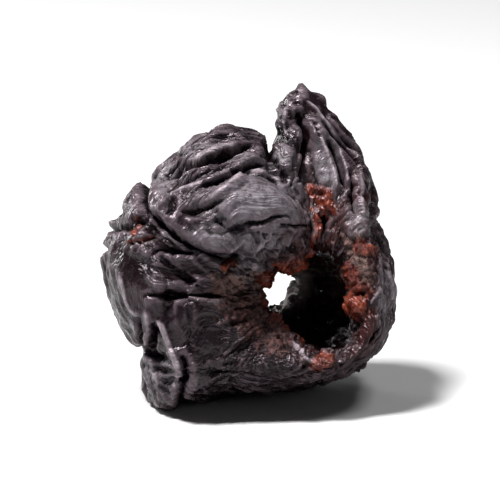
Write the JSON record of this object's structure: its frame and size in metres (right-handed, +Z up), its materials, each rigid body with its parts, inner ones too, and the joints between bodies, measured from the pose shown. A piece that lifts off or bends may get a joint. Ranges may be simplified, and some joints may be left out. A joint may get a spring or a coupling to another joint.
{
  "type": "pitted prune",
  "caption": "Dried, deeply wrinkled dark plum with an ear of skin at the top and an open tunnel where its stone was taken out, resting on a small flat spot.",
  "frame": {"origin": "on the flat spot that the fruit rests on, under its centre of mass", "axes": "+Z up from the surface, -Y out of the front of the fruit towards the viewer of its tunnel, +X to that viewer's right"},
  "size_m": [0.0303, 0.0246, 0.0314],
  "materials": {
    "prune_skin": "glossy purple-black skin, finely wrinkled, with orange-red flesh at the torn edges of the tunnel"
  },
  "bodies": {
    "root": {"prune": "prune_skin"}
  },
  "joints": []
}
